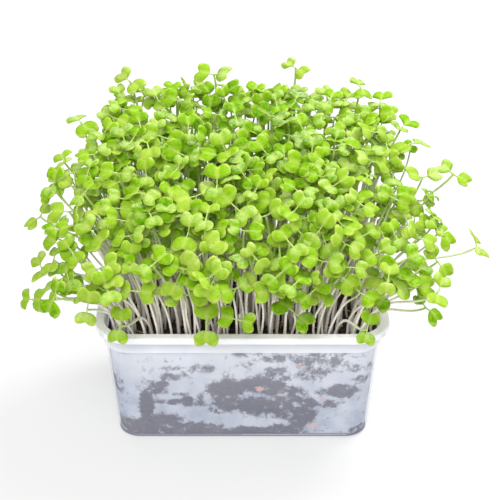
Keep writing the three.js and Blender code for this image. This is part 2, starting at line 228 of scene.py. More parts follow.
def insideOpening(x, y):
    inset = tub["lipReach"] + tub["wall"]
    corner = tub["lipCorner"] - inset
    pastX = max(abs(x) - (tub["width"] / 2 - inset - corner), 0)
    pastY = max(abs(y) - (tub["depth"] / 2 - inset - corner), 0)
    return corner - math.hypot(pastX, pastY)


def clearsTub(balls, leafBall):
    apart = growth["offTub"]
    for x, y, z, radius in balls:
        inside = insideOpening(x, y)
        lowBy = tub["height"] + apart + radius - z
        overX = abs(x) < tub["width"] / 2 + apart + radius
        overY = abs(y) < tub["depth"] / 2 + apart + radius
        if lowBy > 0 and overX and overY and inside < radius + apart:
            return False
        if inside > 0 and radius == leafBall and z < soil["top"] + radius:
            return False
    return True


def fits(room, sprout, stemBall, leafBall):
    balls = roomOf(sprout, stemBall, leafBall)
    free = clearsTub(balls, leafBall) and room.isFree(balls)
    if free:
        room.add(balls)
    return free


def layClumps(dice):
    clumps = []
    for row in range(growth["rows"]):
        for column in range(growth["columns"]):
            cornerClump = column in (0, growth["columns"] - 1) and row in (0, growth["rows"] - 1)
            pull = growth["cornerPull"] if cornerClump else 1
            x = (column - (growth["columns"] - 1) / 2) * growth["columnStep"] * pull
            y = (row - (growth["rows"] - 1) / 2) * growth["rowStep"] * pull
            clumps.append({"x": x, "y": y, "turn": 2 * math.pi * dice.next(), "sprouts": []})
    return clumps


def growStrays(dice, clumps, room):
    shareX, shareY = growth["strayRoot"]
    for tipX, tipY, tipZ in strayTips:
        free = [clump for clump in clumps if not clump["sprouts"]]
        clump = min(free, key=lambda c: math.hypot(c["x"] - shareX * tipX, c["y"] - shareY * tipY))
        for attempt in range(growth["strayTries"]):
            towards = math.atan2(tipY - clump["y"], tipX - clump["x"])
            clump["turn"] = towards + growth["strayTurns"] * dice.spread()
            x = clump["x"] + growth["clumpRadius"] * math.cos(clump["turn"])
            y = clump["y"] + growth["clumpRadius"] * math.sin(clump["turn"])
            sprout = makeSprout(dice, x, y, tipX - x, tipY - y, tipZ - soil["top"], growth["lowWander"])
            if fits(room, sprout, growth["stemBall"], growth["leafBall"]):
                clump["sprouts"].append(sprout)
                break


def growClump(dice, clump, room):
    for k in range(len(clump["sprouts"]), growth["perClump"]):
        for attempt in range(growth["clumpTries"]):
            angle = clump["turn"] + 2 * math.pi * k / growth["perClump"]
            angle += growth["angleVaries"] * dice.spread()
            radius = growth["clumpRadius"] + growth["radiusVaries"] * dice.spread()
            x = clump["x"] + radius * math.cos(angle)
            y = clump["y"] + radius * math.sin(angle)
            sprout = drawSprout(dice, x, y, growth["lowWander"])
            if fits(room, sprout, growth["stemBall"], growth["leafBall"]):
                clump["sprouts"].append(sprout)
                break


def growBetween(dice, room):  # finer sprouts that only the visual model has
    sprouts = []
    for attempt in range(fill["triesEach"] * fill["count"]):
        if len(sprouts) == fill["count"]:
            break
        x = growth["bedHalfWidth"] * (2 * dice.next() - 1)
        y = growth["bedHalfDepth"] * (1 - 2 * dice.next() ** fill["backward"])
        if insideOpening(x, y) < fill["offWall"]:
            continue
        sprout = drawSprout(dice, x, y, fill["lowWander"])
        lowInFront = sprout["tip"][1] < fill["frontTip"] and sprout["tip"][2] < fill["lowTip"]
        if lowInFront and dice.next() > fill["lowKept"]:  # so that the bare stems show there
            continue
        sprout["size"] *= fill["smallest"] + fill["sizeVaries"] * dice.next()
        sprout["lifts"] = tuple(fill["lift"] + fill["liftVaries"] * dice.spread() for side in (0, 1))
        if fits(room, sprout, fill["stemBall"], fill["leafBall"]):
            sprouts.append(sprout)
    return sprouts


dice = Dice(growth["seed"])
room = Room()
clumps = layClumps(dice)
growStrays(dice, clumps, room)
for clump in clumps:
    growClump(dice, clump, room)
betweenSprouts = growBetween(dice, room)
clumpedCount = sum(len(clump["sprouts"]) for clump in clumps)
print("sprouts grown:", clumpedCount, "in clumps,", len(betweenSprouts), "between them")


# Colours and nodes
def linear(hexColour):
    def channel(v):
        v = v / 255
        return v / 12.92 if v <= 0.04045 else ((v + 0.055) / 1.055) ** 2.4
    digits = hexColour.lstrip("#")
    return tuple(channel(int(digits[i:i + 2], 16)) for i in (0, 2, 4)) + (1.0,)


def plug(tree, socket, value):
    if isinstance(value, bpy.types.NodeSocket):
        tree.links.new(value, socket)
    else:
        socket.default_value = value


def addNode(tree, kind, inputs=None, **settings):
    node = tree.nodes.new(kind)
    for name, value in settings.items():
        setattr(node, name, value)
    for name, value in (inputs or {}).items():
        plug(tree, node.inputs[name], value)
    return node


def newMaterial(name):
    material = bpy.data.materials.new(name)
    material.use_nodes = True
    material.node_tree.nodes.clear()
    output = addNode(material.node_tree, "ShaderNodeOutputMaterial")
    return material, material.node_tree, output


def mixColour(tree, share, a, b):
    node = addNode(tree, "ShaderNodeMix", data_type="RGBA")
    for index, value in ((0, share), (6, a), (7, b)):
        plug(tree, node.inputs[index], value)
    return node.outputs[2]


def rangeOf(tree, value, low=0.35, high=0.65, toLow=0.0, toHigh=1.0):  # a grain's span, unless given
    return addNode(tree, "ShaderNodeMapRange", {"Value": value, "From Min": low, "From Max": high,
                                                "To Min": toLow, "To Max": toHigh}).outputs["Result"]


def swingOf(tree, value, by):  # a grain as a swing about zero
    return rangeOf(tree, value, 0.3, 0.7, -by, by)


def sumOf(tree, a, b):
    return addNode(tree, "ShaderNodeMath", {0: a, 1: b}, operation="ADD").outputs[0]


def grainOf(tree, size, detail=2.0, roughness=0.5):
    place = addNode(tree, "ShaderNodeTexCoord").outputs["Object"]
    return addNode(tree, "ShaderNodeTexNoise", {"Vector": place, "Scale": 1 / (size * mm), "Detail": detail,
                                                "Roughness": roughness}).outputs["Fac"]


def bumpOf(tree, look, height):
    return addNode(tree, "ShaderNodeBump", {"Strength": look["bump"], "Distance": look["bumpDeep"] * mm,
                                            "Height": height}).outputs[0]


def marksOf(tree, name):
    marks = addNode(tree, "ShaderNodeAttribute", attribute_name=name)
    parts = addNode(tree, "ShaderNodeSeparateColor", {"Color": marks.outputs["Color"]})
    return (*parts.outputs, marks.outputs["Alpha"])


# Seed leaf: thin waxy living tissue, matt below, and light glows through it; the sky's pale reflection on
# its waxy top is painted on, in patches, where it faces up
leafLook = {
    "deep": "#4A8604", "mid": "#8ABC12", "bright": "#ACC84A", "rim": "#DCE878", "paintedSkySheen": "#DCE4AE",
    "under": "#AAC444", "glow": "#D0EC08", "glowShare": 0.6, "through": 0.25,
    "mottle": 4.0, "mottleBy": 0.12, "grain": 1.5, "grainBy": 0.2, "brightest": 1.05,
    "sheenFrom": 0.6, "leastSheen": 0.15, "mostSheen": 0.55, "veinFrom": 0.3, "veinShare": 0.4,
    "rimFrom": 0.75, "rimShare": 0.5, "bump": 0.7, "bumpDeep": 0.4, "roughness": 0.45, "gloss": 0.12,
}


def leafMaterial():
    material, tree, output = newMaterial("seedLeafTissue")
    tone, vein, rim, upper = marksOf(tree, "leafMarks")
    skyward = addNode(tree, "ShaderNodeAttribute", attribute_name="skyward").outputs["Fac"]
    mottle = grainOf(tree, leafLook["mottle"])
    grain = grainOf(tree, leafLook["grain"], 2.0, 0.6)
    deep, mid, bright = (linear(leafLook[part]) for part in ("deep", "mid", "bright"))
    pale = linear(leafLook["rim"])
    shade = sumOf(tree, tone, swingOf(tree, mottle, leafLook["mottleBy"]))
    shade = sumOf(tree, shade, swingOf(tree, grain, leafLook["grainBy"]))
    darker = mixColour(tree, rangeOf(tree, shade, 0.0, 0.5), deep, mid)
    body = mixColour(tree, rangeOf(tree, shade, 0.5, leafLook["brightest"]), darker, bright)
    # painted sky reflection: a pale colour is mixed in where the leaf faces up, more in some patches than
    # in others
    facingSky = rangeOf(tree, skyward, leafLook["sheenFrom"], 1.0)
    patches = rangeOf(tree, grain, toLow=leafLook["leastSheen"], toHigh=leafLook["mostSheen"])
    sheenShare = addNode(tree, "ShaderNodeMath", {0: facingSky, 1: patches}, operation="MULTIPLY")
    withPaintedSheen = mixColour(tree, sheenShare.outputs[0], body, linear(leafLook["paintedSkySheen"]))
    veinShare = rangeOf(tree, vein, leafLook["veinFrom"], 1.0, 0.0, leafLook["veinShare"])
    rimShare = rangeOf(tree, rim, leafLook["rimFrom"], 1.0, 0.0, leafLook["rimShare"])
    rimmed = mixColour(tree, rimShare, mixColour(tree, veinShare, withPaintedSheen, pale), pale)
    colour = mixColour(tree, upper, linear(leafLook["under"]), rimmed)
    skin = addNode(tree, "ShaderNodeBsdfPrincipled", {
        "Base Color": colour, "Roughness": leafLook["roughness"], "IOR": 1.42,
        "Specular IOR Level": leafLook["gloss"], "Normal": bumpOf(tree, leafLook, grain)})
    glowColour = mixColour(tree, leafLook["glowShare"], colour, linear(leafLook["glow"]))
    glow = addNode(tree, "ShaderNodeBsdfTranslucent", {"Color": glowColour})
    both = addNode(tree, "ShaderNodeMixShader", {0: leafLook["through"], 1: skin.outputs[0],
                                                 2: glow.outputs[0]})
    tree.links.new(both.outputs[0], output.inputs["Surface"])
    return material


# Stem: watery, hairless and nearly white at the root, turning pale green under the leaves
stemLook = {
    "root": "#FBF5F2", "middle": "#F3F0E2", "top": "#9FC64A", "stain": "#C4A98A", "streak": 1.6,
    "creamy": (0.1, 0.55), "green": (0.5, 0.92), "stained": (0.4, 0.8), "stainShare": 0.4,
    "toneShare": 0.15, "roughness": 0.4, "soft": 0.15, "softRadius": (1.2, 1.2, 0.8),
}


def stemMaterial():
    material, tree, output = newMaterial("paleStemTissue")
    tone, height = marksOf(tree, "leafMarks")[:2]
    streak = grainOf(tree, stemLook["streak"], 1.0)
    root, middle, top, stain = (linear(stemLook[part]) for part in ("root", "middle", "top", "stain"))
    low = mixColour(tree, rangeOf(tree, height, *stemLook["creamy"]), root, middle)
    full = mixColour(tree, rangeOf(tree, height, *stemLook["green"]), low, top)
    toned = mixColour(tree, rangeOf(tree, tone, 0.0, 1.0, 0.0, stemLook["toneShare"]), full, middle)
    stained = rangeOf(tree, streak, *stemLook["stained"], 0.0, stemLook["stainShare"])
    colour = mixColour(tree, stained, toned, stain)
    skin = addNode(tree, "ShaderNodeBsdfPrincipled", {
        "Base Color": colour, "Roughness": stemLook["roughness"], "IOR": 1.4,
        "Subsurface Weight": stemLook["soft"], "Subsurface Radius": stemLook["softRadius"],
        "Subsurface Scale": 1 * mm})
    tree.links.new(skin.outputs[0], output.inputs["Surface"])
    return material


# Polypropylene, injection moulded: clear enough where the soil touches it, cloudier at the folded rim
plasticLook = {  # each part has two tints and how much it hides
    "cloudSize": 24.0, "roughness": 0.3, "lip": ("#FFFFFF", "#F8FAFC", 0.95),
    "collar": ("#F8FAFE", "#EEF2FA", 0.72), "wall": ("#DFE5FA", "#D0D9F5", 0.145),
    "foot": ("#747688", "#6A6C7E", 0.85),  # partly the dark soil behind the base, partly a painted contact shadow under the tub
}


def plasticMaterial(name, part):
    material, tree, output = newMaterial(name)
    veil, cloud, alpha = plasticLook[part]
    share = rangeOf(tree, grainOf(tree, plasticLook["cloudSize"]))
    skin = addNode(tree, "ShaderNodeBsdfPrincipled", {
        "Base Color": mixColour(tree, share, linear(veil), linear(cloud)),
        "Roughness": plasticLook["roughness"], "IOR": 1.49, "Alpha": alpha})
    tree.links.new(skin.outputs[0], output.inputs["Surface"])
    return material


# Peat: dark, damp and crumbly, with a felt of pale roots and a few husks pressed on the tub's wall
peatLook = {
    "dark": "#1D1412", "mid": "#47332A", "light": "#80644C", "crumb": 1.6, "darkest": (0.35, 0.6),
    "lightest": (0.62, 0.78), "roots": "#CED1D5", "rootShade": "#A9B0BC", "rootsHigh": "#F6F7F8",
    "thread": 1.3, "threadBy": 0.25, "cloud": 13.0, "ragged": 5.5, "raggedBy": 0.5, "fine": 1.7,
    "fineBy": 0.2, "edge": (0.22, 0.72), "highFrom": 0.4, "thinFrom": 0.3, "thinRoots": 0.24,
    "husk": "#D8AC9A", "huskEdge": (1.08, 1.16), "bump": 0.6, "bumpDeep": 0.5, "roughness": 0.85,
}


def peatMaterial():
    material, tree, output = newMaterial("dampPeat")
    felt, husk, height = marksOf(tree, "rootFelt")[:3]
    crumb = grainOf(tree, peatLook["crumb"], 3.0, 0.65)
    thread = grainOf(tree, peatLook["thread"], 4.0, 0.7)
    cloud = grainOf(tree, peatLook["cloud"], 2.0)
    ragged = grainOf(tree, peatLook["ragged"], 4.0, 0.65)
    fine = grainOf(tree, peatLook["fine"], 3.0, 0.6)
    dark, mid, light = (linear(peatLook[part]) for part in ("dark", "mid", "light"))
    rootShade, roots, rootsHigh = (linear(peatLook[part]) for part in ("rootShade", "roots", "rootsHigh"))
    darkSoil = mixColour(tree, rangeOf(tree, crumb, *peatLook["darkest"]), dark, mid)
    soilColour = mixColour(tree, rangeOf(tree, crumb, *peatLook["lightest"]), darkSoil, light)
    matted = sumOf(tree, swingOf(tree, thread, peatLook["threadBy"]), rangeOf(tree, cloud))
    lowRoots = mixColour(tree, matted, rootShade, roots)
    rootColour = mixColour(tree, rangeOf(tree, height, peatLook["highFrom"], 1.0), lowRoots, rootsHigh)
    thinRoots = rangeOf(tree, height, peatLook["thinFrom"], 1.0, 0.0, peatLook["thinRoots"])
    bareColour = mixColour(tree, thinRoots, soilColour, rootsHigh)
    edge = sumOf(tree, felt, swingOf(tree, ragged, peatLook["raggedBy"]))
    edge = sumOf(tree, edge, swingOf(tree, fine, peatLook["fineBy"]))
    covered = mixColour(tree, rangeOf(tree, edge, *peatLook["edge"]), bareColour, rootColour)
    bits = rangeOf(tree, sumOf(tree, husk, fine), *peatLook["huskEdge"])
    colour = mixColour(tree, bits, covered, linear(peatLook["husk"]))
    bump = bumpOf(tree, peatLook, crumb)
    skin = addNode(tree, "ShaderNodeBsdfPrincipled", {
        "Base Color": colour, "Roughness": peatLook["roughness"], "Normal": bump})
    tree.links.new(skin.outputs[0], output.inputs["Surface"])
    return material


# Straw and seed husks: dry, matt and fibrous
strawLook = {"pale": "#D9C29A", "brown": "#8A6A48", "fibre": 1.0, "fibreSpan": (0.35, 0.7), "bump": 0.5,
             "bumpDeep": 0.2, "roughness": 0.7}


def strawMaterial():
    material, tree, output = newMaterial("dryStraw")
    fibre = grainOf(tree, strawLook["fibre"], 3.0)
    share = rangeOf(tree, fibre, *strawLook["fibreSpan"])
    colour = mixColour(tree, share, linear(strawLook["pale"]), linear(strawLook["brown"]))
    bump = bumpOf(tree, strawLook, fibre)
    skin = addNode(tree, "ShaderNodeBsdfPrincipled", {
        "Base Color": colour, "Roughness": strawLook["roughness"], "Normal": bump})
    tree.links.new(skin.outputs[0], output.inputs["Surface"])
    return material


leafTissue = leafMaterial()
stemTissue = stemMaterial()
dampPeat = peatMaterial()
dryStraw = strawMaterial()
wallPlastic = plasticMaterial("milkyPolypropylene", "wall")
collarPlastic = plasticMaterial("cloudyPolypropylene", "collar")
lipPlastic = plasticMaterial("foldedPolypropylene", "lip")
shadowedFootPlastic = plasticMaterial("soilAndShadowTintedPolypropylene", "foot")


def meshOf(bm, name):
    mesh = bpy.data.meshes.new(name)
    bm.to_mesh(mesh)
    bm.free()
    return mesh


def newPiece(name, bm, materials):
    mesh = meshOf(bm, name)
    for material in materials:
        mesh.materials.append(material)
    mesh.polygons.foreach_set("use_smooth", [True] * len(mesh.polygons))
    piece = bpy.data.objects.new(name, mesh)
    bpy.context.scene.collection.objects.link(piece)
    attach(piece, "root")
    return piece


# Templates: a leaf, a leaf stalk and a stem, each made once, then bent to every sprout
leafShape = {
    "columns": 8, "rows": 4, "stalk": 2.4, "broad": 5.9, "notch": 8.2, "lobes": 2.3, "lobePower": 0.9,
    "bendOut": 6.0, "basePower": 1.5, "thick": 0.45, "topSide": -0.2, "whole": 10, "puffHalf": 4.6,
    "rimHalf": 3.6, "veinHalf": 1.2, "waveTurns": 0.9,
}
stemShape = {"stalkSides": 6, "stalkLengths": 4, "stemSides": 8, "stemLengths": 12}
stalkShape = {"starts": -0.25, "long": 6.6, "under": 0.28, "thick": 0.9, "tip": 0.2}


def leafTemplate():
    bm = bmesh.new()
    bmesh.ops.create_grid(bm, x_segments=leafShape["columns"], y_segments=leafShape["rows"], size=1)
    for v in bm.verts:
        u, share = v.co.x, (v.co.y + 1) / 2
        curved = abs(u) ** leafShape["basePower"]
        low = leafShape["stalk"] + (leafShape["bendOut"] - leafShape["stalk"]) * curved
        lobes = leafShape["lobes"] * math.sin(math.pi * abs(u)) ** leafShape["lobePower"]
        swell = leafShape["notch"] - leafShape["bendOut"] + lobes
        high = leafShape["bendOut"] + swell * math.sqrt(max(0, 1 - u * u))
        v.co = Vector((leafShape["broad"] * math.sin(u * math.pi / 2), low + (high - low) * share, 0))
    bmesh.ops.remove_doubles(bm, verts=bm.verts, dist=1e-4)
    bmesh.ops.solidify(bm, geom=bm.faces[:], thickness=leafShape["thick"])
    bmesh.ops.recalc_face_normals(bm, faces=bm.faces)
    return bm


def tubeTemplate(sides, lengths):
    bm = bmesh.new()
    bmesh.ops.create_cone(bm, cap_ends=True, segments=sides, radius1=1, radius2=1, depth=1)
    bmesh.ops.translate(bm, verts=bm.verts, vec=(0, 0, 0.5))
    for i in range(1, lengths):
        geometry = bm.verts[:] + bm.edges[:] + bm.faces[:]
        bmesh.ops.bisect_plane(bm, geom=geometry, plane_co=(0, 0, i / lengths), plane_no=(0, 0, 1))
    return bm


leafMesh = meshOf(leafTemplate(), "leafTemplate")
stalkMesh = meshOf(tubeTemplate(stemShape["stalkSides"], stemShape["stalkLengths"]), "stalkTemplate")
stemMesh = meshOf(tubeTemplate(stemShape["stemSides"], stemShape["stemLengths"]), "stemTemplate")


def addCopy(bm, template, materialIndex):
    vertsBefore, facesBefore = len(bm.verts), len(bm.faces)
    bm.from_mesh(template)
    bm.verts.ensure_lookup_table()
    bm.faces.ensure_lookup_table()
    for face in bm.faces[facesBefore:]:
        face.material_index = materialIndex
    return bm.verts[vertsBefore:]


def metres(point):
    return Vector(point) * mm


def addStem(bm, marks, sprout, look):
    curve = sprout["curve"]
    for v in addCopy(bm, stemMesh, 1):
        t = v.co.z
        heading = curveHeading(curve, t)
        sideways = unitOf(shifted(sprout["across"], heading, -dotOf(sprout["across"], heading)))
        forward = crossOf(sideways, heading)
        radius = look["stemLow"] + (look["stemTop"] - look["stemLow"]) * t
        bow = math.sin(2 * math.pi * t) * math.sin(math.pi * t)
        point = shifted(curvePoint(curve, t), forward, v.co.x * radius + look["sways"][0] * bow)
        v.co = metres(shifted(point, sideways, v.co.y * radius + look["sways"][1] * bow))
        v[marks] = (look["tone"], t, 0, 1)


def addLeaf(bm, marks, sprout, side, look):
    index = 0 if side > 0 else 1
    lift = sprout["lifts"][index]
    size = sprout["size"] * look["unequal"][index]
    droop, dome, twist, puff = (look[part][index] for part in ("droops", "domes", "twists", "puffs"))
    upward = tuple(c * math.cos(lift) for c in sprout["up"])
    normal = shifted(upward, sprout["along"], -side * math.sin(lift))
    forward = tuple(c * math.sin(lift) for c in sprout["up"])
    heading = shifted(forward, sprout["along"], side * math.cos(lift))

    def onLeaf(out, over, above):
        r, w = out * size, over * size
        reach, across = r / leafShape["whole"], min(1, abs(over) / leafShape["broad"])
        middle = max(0, 1 - ((out - leafShape["bendOut"]) / leafShape["puffHalf"]) ** 2)
        fold = abs(w) * math.sin(sprout["cup"]) - dome * across * across
        puffed = puff * math.sin(math.pi * across) * middle
        wave = look["wave"] * math.sin(leafShape["waveTurns"] * w + look["phase"]) * across * across
        raised = fold + puffed - droop * reach * reach + wave + above
        turned = twist * reach
        point = shifted(sprout["tip"], heading, r)
        point = shifted(point, sprout["across"], w * math.cos(sprout["cup"]) * math.cos(turned))
        return shifted(point, normal, raised + w * math.sin(turned))

    for v in addCopy(bm, leafMesh, 0):
        w, r, z = v.co
        across, middle = abs(w) / leafShape["broad"], (r - leafShape["bendOut"]) / leafShape["rimHalf"]
        vein = max(0, 1 - abs(w) / leafShape["veinHalf"])
        rim = min(1, math.hypot(across, middle)) ** 3
        v[marks] = (look["tone"], vein, rim, 1 if z > leafShape["topSide"] else 0)
        v.co = metres(onLeaf(r, w, z))
    for v in addCopy(bm, stalkMesh, 1):
        t = v.co.z
        radius = look["stemTop"] * stalkShape["thick"] * (1 - t) + stalkShape["tip"] * t
        out = stalkShape["starts"] + stalkShape["long"] * t
        v[marks] = (look["tone"], 1, 0, 1)
        v.co = metres(onLeaf(out, v.co.y * radius / size, v.co.x * radius - stalkShape["under"]))


# How sprouts differ: each pair is the middle value and how far it varies. Radii and bends are in mm.
sproutLook = {
    "tone": (0.48, 0.42), "stemLow": (0.9, 0.14), "stemTop": (0.62, 0.08), "sway": (0, 2.2),
    "second": (0.92, 0.1), "droop": (1.3, 2.2), "dome": (1.8, 1.2), "puff": (1.2, 0.6), "twist": (0, 0.35),
    "wave": (0, 0.6), "phases": 6.3, "outerTone": 0.4, "bedMiddleY": 15, "bedReach": (105, 85),
}


def varied(dice, part):
    middle, varies = sproutLook[part]
    return middle + varies * dice.spread()


def lookOf(dice, slender, tip):
    reachX, reachY = sproutLook["bedReach"]
    outer = min(1, math.hypot(tip[0] / reachX, (tip[1] - sproutLook["bedMiddleY"]) / reachY))
    tone = varied(dice, "tone") + sproutLook["outerTone"] * (outer - 0.5)  # deeper green in the middle
    look = {"tone": min(1, max(0, tone))}
    look["stemLow"] = varied(dice, "stemLow") * slender
    look["stemTop"] = varied(dice, "stemTop") * slender
    look["sways"] = (varied(dice, "sway"), varied(dice, "sway"))
    look["unequal"] = (1, varied(dice, "second"))
    for part in ("droop", "dome", "puff", "twist"):
        look[part + "s"] = (varied(dice, part), varied(dice, part))
    look["wave"] = varied(dice, "wave")
    look["phase"] = sproutLook["phases"] * dice.next()
    return look


def addSprouts(name, sprouts, dice, slender=1.0):
    bm = bmesh.new()
    marks = bm.verts.layers.float_color.new("leafMarks")
    skyward = bm.verts.layers.float.new("skyward")
    for sprout in sprouts:
        look = lookOf(dice, slender, sprout["tip"])
        addStem(bm, marks, sprout, look)
        addLeaf(bm, marks, sprout, 1, look)
        addLeaf(bm, marks, sprout, -1, look)
    bm.normal_update()
    # how far each point faces up; the leaf material paints the sky's reflection from this
    for v in bm.verts:
        v[skyward] = max(0, v.normal.z)
    return newPiece(name, bm, [leafTissue, stemTissue])


lookDice = Dice(11)
for index, clump in enumerate(clumps):
    piece = addSprouts(f"sprouts_{index + 1:02d}", clump["sprouts"], lookDice)
    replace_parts(piece, f"clump_{index + 1:02d}")
for start in range(0, len(betweenSprouts), fill["perPiece"]):
    name = f"finer_sprouts_{start // fill['perPiece'] + 1}"
    addSprouts(name, betweenSprouts[start:start + fill["perPiece"]], lookDice, fill["slender"])
print("sprouts built")


# Rings: a round-cornered rectangle laid level by level, each one a ring of points
# Halves and corner share out the points alike in every ring, so that rings join level to level
ringShape = {"halfX": 64.0, "halfY": 38.0, "corner": 15.0, "cornerShare": 0.8}


def ringPoints(inset, corner, z, count):  # anticlockwise from the middle of the right side
    x = tub["width"] / 2 - inset - corner
    y = tub["depth"] / 2 - inset - corner
    arc = ringShape["corner"] * math.pi / 2
    quarter = ringShape["halfX"] + ringShape["halfY"] + arc
    points = []
    for i in range(count):
        turns, rest = divmod(i * 4 * quarter / count, quarter)
        if turns % 2:
            first, second, firstLength = x, y, ringShape["halfX"]
        else:
            first, second, firstLength = y, x, ringShape["halfY"]
        if rest < firstLength:
            px, py = second + corner, first * rest / firstLength
        elif rest < firstLength + arc:
            angle = (rest - firstLength) / ringShape["corner"]
            px, py = second + corner * math.cos(angle), first + corner * math.sin(angle)
        else:
            px, py = second * (quarter - rest) / (quarter - firstLength - arc), first + corner
        for turn in range(int(turns)):
            px, py = -py, px
        points.append(Vector((px, py, z)))
    return points


def stackRings(bm, rings, count, place):  # place puts one ring's vertices where they go
    bmesh.ops.create_circle(bm, cap_ends=True, segments=count, radius=1)
    ring = sorted(bm.verts, key=lambda v: (math.atan2(v.co.y, v.co.x) + 0.001) % (2 * math.pi))
    for level, ringSize in enumerate(rings):
        if level:
            edges = [bm.edges.get((ring[i - 1], ring[i])) for i in range(count)]
            made = set(bmesh.ops.extrude_edge_only(bm, edges=edges)["geom"])
            above = {}
            for edge in (e for v in made if isinstance(v, bmesh.types.BMVert) for e in v.link_edges):
                a, b = edge.verts
                if (a in made) != (b in made):
                    above[b if a in made else a] = a if a in made else b
            ring = [above[v] for v in ring]
        place(level, ring, ringPoints(*ringSize, count))
    bmesh.ops.edgeloop_fill(bm, edges=[bm.edges.get((ring[i - 1], ring[i])) for i in range(count)])
    bmesh.ops.recalc_face_normals(bm, faces=bm.faces)


ledgeHeight = tub["height"] - tub["lipSkirt"] - tub["collarHeight"]


def wallAt(z):
    inset = tub["lipReach"] + tub["ledge"]
    corner = tub["lipCorner"] - inset
    down = (ledgeHeight - z) / ledgeHeight
    return inset + tub["taper"] * down, corner + (tub["baseCorner"] - corner) * down


def taperedRings(gap, bottom, top, fillet, turns=5):
    inset, corner = wallAt(bottom + fillet)
    rings = []
    for i in range(turns):
        angle = i / turns * math.pi / 2
        inward = fillet * (1 - math.sin(angle))
        up = fillet * (1 - math.cos(angle))
        rings.append((inset + gap + inward, corner - gap - inward * ringShape["cornerShare"], bottom + up))
    rings.append((inset + gap, corner - gap, bottom + fillet))
    inset, corner = wallAt(top)
    rings.append((inset + gap, corner - gap, top))
    return rings


# Tub: one moulded shell with a folded rim, every edge slightly round
tubShape = {
    "around": 160, "skirtThick": 1.0, "rimRound": 0.9, "footHeight": 1.6,
    "ledgeBelow": 0.3, "ledgeAbove": 0.6, "innerLedge": 1.2, "floorExtra": 0.1, "filletExtra": 0.4,
    "lipThick": 1.3, "lipCove": 0.8, "skirtCove": 0.4, "skirtRound": 0.3,
    "wallEnds": 0.2, "lipDeep": 2, "lipStarts": 0.05,
}


def roundOver(fromInset, toInset, fromHeight, toHeight, hollow=False, steps=4):
    rings = []
    for i in range(steps + 1):
        angle = i / steps * math.pi / 2
        across, along = math.sin(angle), 1 - math.cos(angle)
        if hollow:
            across, along = 1 - math.cos(angle), math.sin(angle)
        inset = fromInset + (toInset - fromInset) * across
        rings.append((inset, tub["lipCorner"] - inset, fromHeight + (toHeight - fromHeight) * along))
    return rings


def makeTub():
    reach, wall, height = tub["lipReach"], tub["wall"], tub["height"]
    thick, rim, cove, turn = (tubShape[part] for part in ("skirtThick", "rimRound", "lipCove", "skirtCove"))
    skirt, edge = height - tub["lipSkirt"], tubShape["skirtRound"]
    wallTop, under = ledgeHeight - tubShape["ledgeBelow"], height - tubShape["lipThick"]
    fillet = tub["baseFillet"] - wall + tubShape["filletExtra"]
    outside = taperedRings(0, 0, wallTop, tub["baseFillet"])
    outside += roundOver(reach + tub["ledge"], reach, wallTop, ledgeHeight + tubShape["ledgeAbove"])
    outside += roundOver(reach, reach - cove, under - cove, under, hollow=True)
    outside += roundOver(thick + turn, thick, under, under - turn)
    outside += roundOver(thick, thick - edge, skirt + edge, skirt, hollow=True)
    outside += roundOver(edge, 0, skirt, skirt + edge)
    outside += roundOver(0, rim, height - rim, height, hollow=True)
    inside = roundOver(reach + wall - rim, reach + wall, height, height - rim)
    inside.append((reach + wall, tub["lipCorner"] - reach - wall, ledgeHeight + tubShape["innerLedge"]))
    inside += taperedRings(wall, wall + tubShape["floorExtra"], ledgeHeight, fillet)[::-1]
    rings = outside + inside

    def place(level, ring, points):
        for v, point in zip(ring, points):
            v.co = point * mm

    bm = bmesh.new()
    stackRings(bm, rings, tubShape["around"], place)
    for face in bm.faces:
        middle = face.calc_center_median() / mm
        beyond = max(abs(middle.x) - tub["width"] / 2, abs(middle.y) - tub["depth"] / 2)
        # the lowest band takes the dark tint: a painted contact shadow under the tub, with the dark soil
        # behind it
        if middle.z < tubShape["footHeight"]:
            face.material_index = 0
        elif middle.z < ledgeHeight - tubShape["wallEnds"]:
            face.material_index = 1
        elif beyond > tubShape["lipStarts"] - reach or middle.z > height - tubShape["lipDeep"]:
            face.material_index = 3
        else:
            face.material_index = 2
    return newPiece("tub_shell", bm, [shadowedFootPlastic, wallPlastic, collarPlastic, lipPlastic])


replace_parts(makeTub(), "tray")
print("tub built")


# Soil: rings laid up the tub's inside, then in over the top, with crumbs and hollows
peatShape = {
    "around": 480, "upStep": 1.15, "inStep": 1.25, "inCount": 38, "dent": 0.25, "dentGrain": 0.5,
    "belowCollar": 1.8, "topEdge": 0.8, "sink": 0.3, "bareMark": -0.5,
    "lumps": ((0.9, 0.07), (0.9, 0.28), (0.6, 0.8)),  # how high and how dense
}
feltShape = {
    "cloud": 0.045, "cloudStart": (3.1, 7.7, 1.3), "frontFrom": -35, "frontHalf": 78,
    "full": 0.95, "cloudBy": 0.3, "core": 1.9, "fade": 1.4, "least": -0.1,
    "elsewhere": 0.72, "elsewhereBy": 0.9, "bareLow": 14, "bareBy": 0.6,
}
